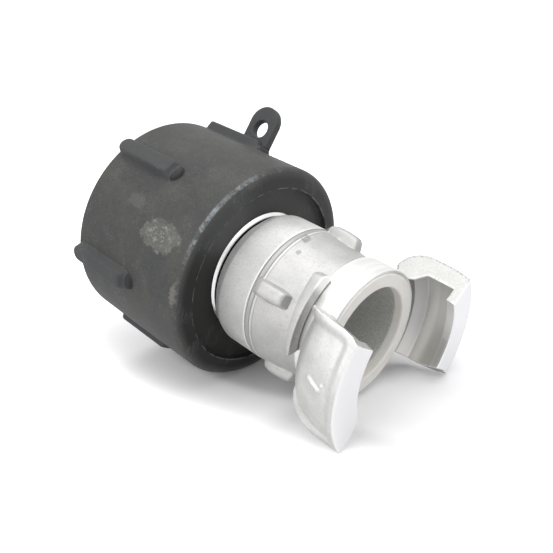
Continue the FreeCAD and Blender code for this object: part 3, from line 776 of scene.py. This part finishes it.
def ringSection(turn):
    bore, rear, front, back, tip, edge = (
        ring[key] for key in ("bore", "rear", "front", "camBack", "camFront", "nose"))
    local = (turn - ring["parked"]) % 360
    nearest = (local + 45) % 90 - 45
    across = math.radians(nearest) * 37
    camTurn = (local % 180) - ring["camStart"]
    span = ring["camEnd"] - ring["camStart"]
    climb = ring["camFoot"] + ring["camRise"] * min(1, max(0, camTurn / span))
    # the cam's thick end is rounded back, its thin end fades into the nose
    deepest = ring["camRound"]
    inset = min(deepest, max(0.0, deepest - camTurn * ring["camThin"]))
    there = float(smoothStep(camTurn, -0.6, 0.7) * (1 - smoothStep(camTurn, span - 0.7, span + 0.6)))
    foot = climb + 0.9 * inset**2 / deepest
    top = ring["camOut"] - 0.85 * inset
    heights = np.concatenate([
        [rear + 0.35], np.linspace(rear + 0.6, ring["rimEnd"] + 0.9, 14),
        np.linspace(108.3, 121.5, 16), np.linspace(121.9, 125.2, 12), np.linspace(126.2, foot - 0.6, 6)])
    outside = ringBase(heights)
    lug = lugRadius(heights, across)
    blend = np.log(np.exp((outside - 30) * 3.2) + np.exp((np.maximum(lug, 28) - 30) * 3.2)) / 3.2 + 30
    outside = np.where(lug > outside - 1.5, blend, outside)
    section = list(zip(outside, heights))
    nose = float(ringBase(foot))
    wall = [(nose + (top - nose) * share, foot - 0.35 + 0.5 * share) for share in (0.05, 0.2, 0.5, 0.8)]
    wall += arc(top - 0.45, foot + 0.62, 0.45, 0.2 - math.pi / 2, 1.57 - math.pi / 2, 4)
    wall += [(top, foot + (tip - foot) * 0.6 + 0.3)]
    wall += arc(top - 0.35, tip - 0.35, 0.35, 0, 1.57, 4)
    wall += [(top + (back - top) * share, tip) for share in (0.35, 0.7, 0.96)]
    wall += [(back, tip - 0.2), (back, (tip + front) / 2), (back, front + 0.05)]
    plain = [(float(ringBase(height)), height) for height in np.linspace(foot - 0.3, front - 0.4, 11)]
    plain += arc(edge - 0.4, front - 0.4, 0.4, 0.2, 1.57, 3)
    plain += [(edge - 0.6, front)] * (len(wall) - len(plain))
    section += [(w[0] * there + p[0] * (1 - there), w[1] * there + p[1] * (1 - there)) for w, p in zip(wall, plain)]
    section += [(edge - 1.2, front), (bore + 0.4, front)]
    section += [(bore, height) for height in (front - 0.4, front - 0.8, 120, 110, rear + 0.8, rear + 0.3)]
    section += [(bore + 0.3, rear), (bore + 0.8, rear), (34.4, rear), (35.2, rear + 0.05), (35.45, rear + 0.2)]
    return np.array(section, float)


# the ring's sections stand closer together at the lugs and at the cams' ends
def makeLockRing():
    parked, extra = ring["parked"], []
    for quarter in range(4):
        extra += [parked + 90 * quarter + across * 7.2 for across in np.linspace(-1, 1, 27)]
    for half in (parked, parked + 180):
        for offset in np.linspace(-1.2, 6, 25):
            extra += [half + ring["camStart"] + offset, half + ring["camEnd"] + 1.2 - offset * 0.5]
    turns = sorted({*np.arange(0, 360, 1.5), *(round(turn % 360, 4) for turn in extra)})
    kept = [turns[0]]
    for turn in turns[1:]:
        if turn - kept[-1] > 0.12:
            kept.append(turn)
    sections = [ringSection(turn) for turn in kept]
    sleeve = pieceFrom("lock_ring_sleeve", aroundAxis(sections, kept), gridFaces(len(kept), len(sections[0])), 38)
    return finished(sleeve, "ring", "ring_aluminium", "lock_ring")


makeLockRing()
print("lock ring made")

# claw head: turned neck and flange, and two hooked claws

head = {
    "bore": 24.95, "neck": 28.45, "neckEnd": 92.35, "rear": 133.92, "front": 148.78, "radius": 33.35,
    "groove": 31.85, "grooveFloor": 144.62,
}
# each claw: its heel is a quarter ellipse, given at both ends of the claw, and its ends follow tables of turns:
# the first end by height at the outer face and at the inner wall, the second end by radius
claws = {
    "right": {
        "turn": 0, "heelRadius": (39.95, 39.95), "heelHeight": (150, 150), "reach": (11.35, 11.35),
        "rise": (14.3, 14.3), "face": (48.9, 49.2), "lip": 34.8,
        "fromOuter": [(137, -36.5), (155, -35.8), (164, -34.8), (169, -33.9), (171.7, -33.3)],
        "fromInner": [(137, -37.5), (145, -36.9), (155, -35.6), (162.4, -34.5), (168, -32.8), (171.7, -31.2)],
        "to": [(34.8, 30.3), (38, 31.1), (42, 32.0), (46, 32.8), (51.3, 33.7)],
    },
    "left": {
        "turn": 180, "heelRadius": (36.7, 36.5), "heelHeight": (156.2, 159.2), "reach": (14.6, 14.6),
        "rise": (16.0, 22), "face": (49.3, 51.0), "lip": 34.6,
        "fromOuter": [(137, -36.3), (146, -36.0), (154, -35.6), (164, -34.7), (169, -33.4), (171.7, -31.0)],
        "fromInner": [(137, -37.2), (143, -37.6), (153, -36.4), (160, -34.5), (166, -33.1), (171.7, -30.5)],
        "to": [(34.6, 22), (34.9, 25.5), (35.7, 29.2), (37.5, 32.5), (40, 34.9), (42.9, 36.5), (46.2, 37.6),
               (49, 37.7), (51.5, 37.0)],
    },
}
hook = {"front": 171.68, "back": 136.45, "camClear": 39.9, "lipRear": 166.95, "inside": 42.0, "insideHeight": 152.6,
        "frontInside": 41.4, "foot": 37.2, "root": 32.9, "side": 0.45, "round": 0.55, "sections": 96}


def makeHead():
    body = spun("claw_head_neck", head, [
        ("bore", "neckEnd", 0.3),
        ("neck", "neckEnd", 0.3),
        ("neck", "rear", 0.2),
        ("radius", "rear", 0.4),
        ("radius", "front", 0.35),
        ("groove", "front", 0.2),
        ("groove", "grooveFloor", 0.15),
        ("bore", "grooveFloor", 0.25),
    ])
    radii = [math.hypot(vertex.co.x, vertex.co.y) / mm for vertex in body.data.vertices]
    machined = [float(radius > head["neck"] + 0.1) for radius in radii]
    body.data.attributes.new("machined", "FLOAT", "POINT").data.foreach_set("value", machined)
    return finished(body, "coupling", "claw_aluminium", "claw_head")


# open path through rounded corners, its longest gaps halved until it has the points asked for
def softPath(corners, total):
    path = list(softOutline(corners, 0.4, 0.2))
    while len(path) < total:
        gaps = [np.linalg.norm(after - before) for before, after in zip(path, path[1:])]
        spot = int(np.argmax(gaps))
        path.insert(spot + 1, (path[spot] + path[spot + 1]) / 2)
    return np.array(path)


# back, heel, outer side and front face of a claw, from its root to its lip
def outerPath(claw, share):
    radius, height, reach, rise, face = (
        claw[key][0] + (claw[key][1] - claw[key][0]) * share
        for key in ("heelRadius", "heelHeight", "reach", "rise", "face"))
    end, soft = hook["front"], hook["round"]
    first = math.asin((hook["camClear"] - radius) / reach)
    back = max(hook["back"], height - rise * math.cos(first))
    flat = [(r, back) for r in np.linspace(hook["root"], hook["camClear"] - 0.1, 6)]
    angles = np.linspace(first, math.pi / 2, 26)
    heel = [(radius + reach * math.sin(a), height - rise * math.cos(a)) for a in angles]
    heights = np.linspace(height, end - soft, 34)[1:]
    widest = radius + reach
    side = [(widest - (widest - face) * ((h - height) / (end - height)) ** 3, h) for h in heights]
    corner = arc(face - soft, end - soft, soft, 0.35, math.pi / 2, 5)
    front = [(r, end) for r in np.linspace(face - soft, claw["lip"] + 1.2, 14)[1:]]
    return np.array(flat + heel), np.array(side), np.array(corner + front)


def innerPath(claw, counts):
    ledge, inner, end = head["front"] - 4.4, claw["lip"], hook["front"]
    low, high = (hook["inside"], hook["insideHeight"], 0), (hook["frontInside"], hook["lipRear"], 0)
    foot = softPath([
        (hook["root"], ledge, 0), (hook["foot"] - 1.2, ledge, 0.2), (hook["foot"], head["front"] - 1.0, 0.5), low,
    ], counts[0])
    wall = softPath([low, high], counts[1] + 1)
    lip = softPath([
        high, (inner + 0.6, hook["lipRear"], 0.3), (inner, end, 0.5), (inner + 0.6, end, 0),
    ], counts[2] + 1)
    return np.concatenate([foot, wall[1:], lip[1:]])


# inward normals of a closed outline
def inward(outline):
    along = np.roll(outline, -1, 0) - np.roll(outline, 1, 0)
    along = along / np.maximum(np.linalg.norm(along, axis=1), 1e-6)[:, None]
    return np.stack([-along[:, 1], along[:, 0]], 1)


def endTurns(claw, radius, height):
    share = np.clip((51.5 - radius) / 9, 0, 1)
    outer, inner = (np.interp(height, *zip(*claw[key])) for key in ("fromOuter", "fromInner"))
    return outer + (inner - outer) * share, np.interp(radius, *zip(*claw["to"]))


def makeClaw(side):
    claw = claws[side]
    soft = hook["side"] / 45
    ends = soft * (1 - np.cos(np.linspace(0, np.pi / 2, 5)))
    shares = np.concatenate([ends, np.linspace(soft, 1 - soft, hook["sections"])[1:-1], 1 - ends[::-1]])
    parts = outerPath(claw, 0.5)
    inner = innerPath(claw, [len(part) for part in parts])
    half = len(inner)
    number = np.arange(2 * half)
    outside, front = number < half, np.abs(number - (half - len(parts[2]) + 1)) < 3
    rings, ridge = [], []
    for share in shares:
        outline = np.concatenate([*outerPath(claw, share), inner[::-1]])
        edge = min(share, 1 - share)
        if edge < soft:
            outline = outline + inward(outline) * hook["side"] * (1 - math.sqrt(max(0, 1 - (1 - edge / soft) ** 2)))
        start, end = endTurns(claw, outline[:, 0], outline[:, 1])
        turn = start + (end - start) * share
        outline = outline + inward(outline) * sinkPanel(outline, turn, start, end, half, len(parts[2]))[:, None]
        rings.append(aroundAxis([outline], [turn + claw["turn"]]))
        # ridge: painted highlight on the first end's outer edge and the front corner, painted shade on the second end's
        # outer edge
        sign = 1 if share < 0.5 else -1
        ridge.append(outside * sign * max(0.0, 1 - edge / soft * 0.8) + front * 0.8)
    points, faces = np.concatenate(rings), gridFaces(len(rings), 2 * half, closeRows=False)
    machined, ridge = np.tile(number >= half - len(parts[2]), len(rings)), np.concatenate(ridge)
    # both ends are closed with strips from the outer path to the inner one
    columns = 8
    capped = np.zeros(len(points))
    for border in (rings[0], rings[-1]):
        outer, facing = border[:half], border[half:][::-1]
        faces += gridFaces(columns + 1, half, closeRows=False, closeColumns=False, first=len(points))
        strips = [outer + (facing - outer) * number / columns for number in range(columns + 1)]
        points = np.concatenate([points, *strips])
        unmarked = np.zeros((columns + 1) * half)
        machined, ridge = np.concatenate([machined, unmarked]), np.concatenate([ridge, unmarked])
        # capped: 1 on the ends' outer edge, where a painted shade line goes, 0.5 across the ends
        capped = np.concatenate([capped, np.full(half, 1.0), np.full(columns * half, 0.5)])
    body = pieceFrom("claw_" + side, points, faces, 35, {"machined": machined, "ridge": ridge, "capped": capped})
    return finished(body, "coupling", "claw_aluminium")


# the sunken field, its soft borders, and the raised bar and dot in it: turns in degrees, the rest in millimetres
panel = {
    "radius": 51, "start": (1.4, 5.8), "end": (5.6, 8.2), "front": (165.8, 169.6), "shallow": 1.5, "deeper": 1.3,
    "barTurn": -4.3, "barHeight": 155, "barLean": 3.1, "barLength": 6.7, "dotTurn": -4.4, "dotHeight": 163,
}


# how far the outer face is sunk: open at the back, bordered at both ends and at the front
def sinkPanel(outline, turn, start, end, half, frontCount):
    outside = np.arange(len(outline)) < half - frontCount
    wide = math.radians(panel["radius"])
    height = outline[:, 1]
    field = smoothStep((turn - start) * wide, *panel["start"]) * smoothStep((end - turn) * wide, *panel["end"])
    field *= 1 - smoothStep(height, *panel["front"])
    deep = panel["shallow"] + panel["deeper"] * (1 - smoothStep(height, 150, 165))
    lean, length = panel["barLean"], panel["barLength"]
    across, up = turn - panel["barTurn"], height - panel["barHeight"]
    along = np.clip((across * lean + up * length) / (lean**2 + length**2), 0, 1)
    away = np.hypot((across - lean * along) * wide, up - length * along)
    dot = np.hypot((turn - panel["dotTurn"]) * wide, height - panel["dotHeight"])
    bar = 0.9 * (1 - smoothStep(away, 0.3, 1.5)) + 0.7 * (1 - smoothStep(dot, 0.2, 1.3))
    return field * (deep - bar) * outside


makeHead()
makeClaw("right")
makeClaw("left")
print("claw head made")

gasket = {"bore": 24.95, "radius": 31.65, "rear": 144.66, "front": 149.55}


def makeGasket():
    seal = spun("face_gasket_ring", gasket, [
        ("bore", "rear", 0.4),
        ("radius", "rear", 0.2),
        ("radius", "front", 0.5),
        ("bore", "front", 1.0),
    ], step=0.25)
    return finished(seal, "coupling", "cream_rubber", "face_gasket")


makeGasket()

carried = {
    "flanged_nipple": "machined_aluminium",
    "mouth_gasket": "black_rubber",
    "slip_ring": "white_slip",
    "stop_pin": "pin_steel",
    "joint_ring": "joint_rubber",
}
for node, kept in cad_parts.items():
    setFinish(kept, finishes[carried.get(node, "black_moulding" if node == "cap_nut" else "cast_aluminium")])
print("carried pieces finished")

# floor, lamps and world

lamps = {
    "key": {"place": (-60, 900, 60), "size": 1400, "power": 6.8},
    "fill": {"place": (-800, 300, 0), "size": 900, "power": 2.1},
    "front": {"place": (200, 500, 900), "size": 800, "power": 0.8},
}


def makeFloor():
    up = Vector(floor["up"]).normalized()
    across = up.cross(Vector((1, 0, 0))).normalized()
    along = across.cross(up)
    centre = Vector(floor["touch"]) - up * 0.05
    half = floor["size"] / 2
    corners = [centre + across * half * i + along * half * j for i, j in ((-1, -1), (1, -1), (1, 1), (-1, 1))]
    mesh = bpy.data.meshes.new("floor")
    mesh.from_pydata([tuple(corner * mm) for corner in corners], [], [(0, 1, 2, 3)])
    if mesh.polygons[0].normal.dot(up) < 0:
        mesh.flip_normals()
    plane = addObject("floor", mesh)
    f = Finish("floor_white")
    f.feed(Base_Color=(0.86, 0.86, 0.875), Roughness=0.9, Specular_IOR_Level=0.1)
    rays = f.node("LightPath", output=None).outputs
    # the open floor burns out to white; the shade under the coupling stays, and painted light lightens the shade around
    # it, by amounts given for each place and less beside the left claw
    sideways = f.maths("MAXIMUM", f.x * (-1 / 55), f.x * (1 / 100))
    lengthways = f.maths("MAXIMUM", (85 - f.z) / 190, (f.z - 85) / 170)
    away = (sideways * sideways + lengthways * lengthways) ** 0.5
    far = f.maths("MAXIMUM", 0, f.maths("MINIMUM", 1, (away - 0.35) / 0.65))
    lift = f.ease(away, 0.28, 0.45) * (0.025 + f.ease(f.x, 34, 14) * 0.155)
    lift = lift * (1 - f.ease(f.z, 118, 138) * f.ease(f.x, -14, -26))
    lift = lift + f.ease(f.x, 16, 32) * f.ease(f.z, 146, 160) * 0.07
    direct = Value(f, rays["Is Camera Ray"]) * (0.018 + lift + far**3 * 0.93)
    # glossy rays see more painted light on the floor, so the metal's reflections of it are brighter
    seen = direct + Value(f, rays["Is Glossy Ray"]) * (0.11 + far**3 * 0.12)
    glow = f.node("Emission", Strength=seen)
    both = f.node("AddShader", None, f.shader.outputs[0], glow)
    clear = f.node("BsdfTransparent")
    # the floor can be seen through from below
    behind = f.node("NewGeometry", output="Backfacing")
    choice = f.node("MixShader", None, behind, both, clear)
    plug(f.tree, f.tree.nodes["Material Output"].inputs["Surface"], choice)
    setFinish(plane, f.material)


def makeLamps():
    aim = Vector((0, 0, 95))
    for name, lamp in lamps.items():
        data = bpy.data.lights.new(name, "AREA")
        data.shape = "DISK"
        data.size = lamp["size"] * mm
        data.energy = lamp["power"]
        place = Vector(lamp["place"])
        turn = (aim - place).to_track_quat("-Z", "Y").to_matrix().to_4x4()
        addObject(name, data).matrix_world = Matrix.Translation(place * mm) @ turn


def makeWorld():
    world = bpy.data.worlds.new("world")
    scene.world = world
    world.use_nodes = True
    tree = world.node_tree
    sky = tree.nodes["Background"].inputs
    plug(tree, sky["Color"], (1, 1, 1))
    # white where it is seen or mirrored, dimmer as a light
    rays = addNode(tree, "ShaderNodeLightPath", None, (), {}).outputs
    seen = addNode(tree, "ShaderNodeMath", {"operation": "MAXIMUM"}, (rays["Is Camera Ray"], rays["Is Glossy Ray"]), {})
    strength = addNode(tree, "ShaderNodeMapRange", None, (seen.outputs[0],), {"To_Min": 0.3, "To_Max": 1.0})
    plug(tree, sky["Strength"], strength.outputs[0])


makeFloor()
makeLamps()
makeWorld()
scene.view_settings.view_transform = "Standard"
print("stage set")
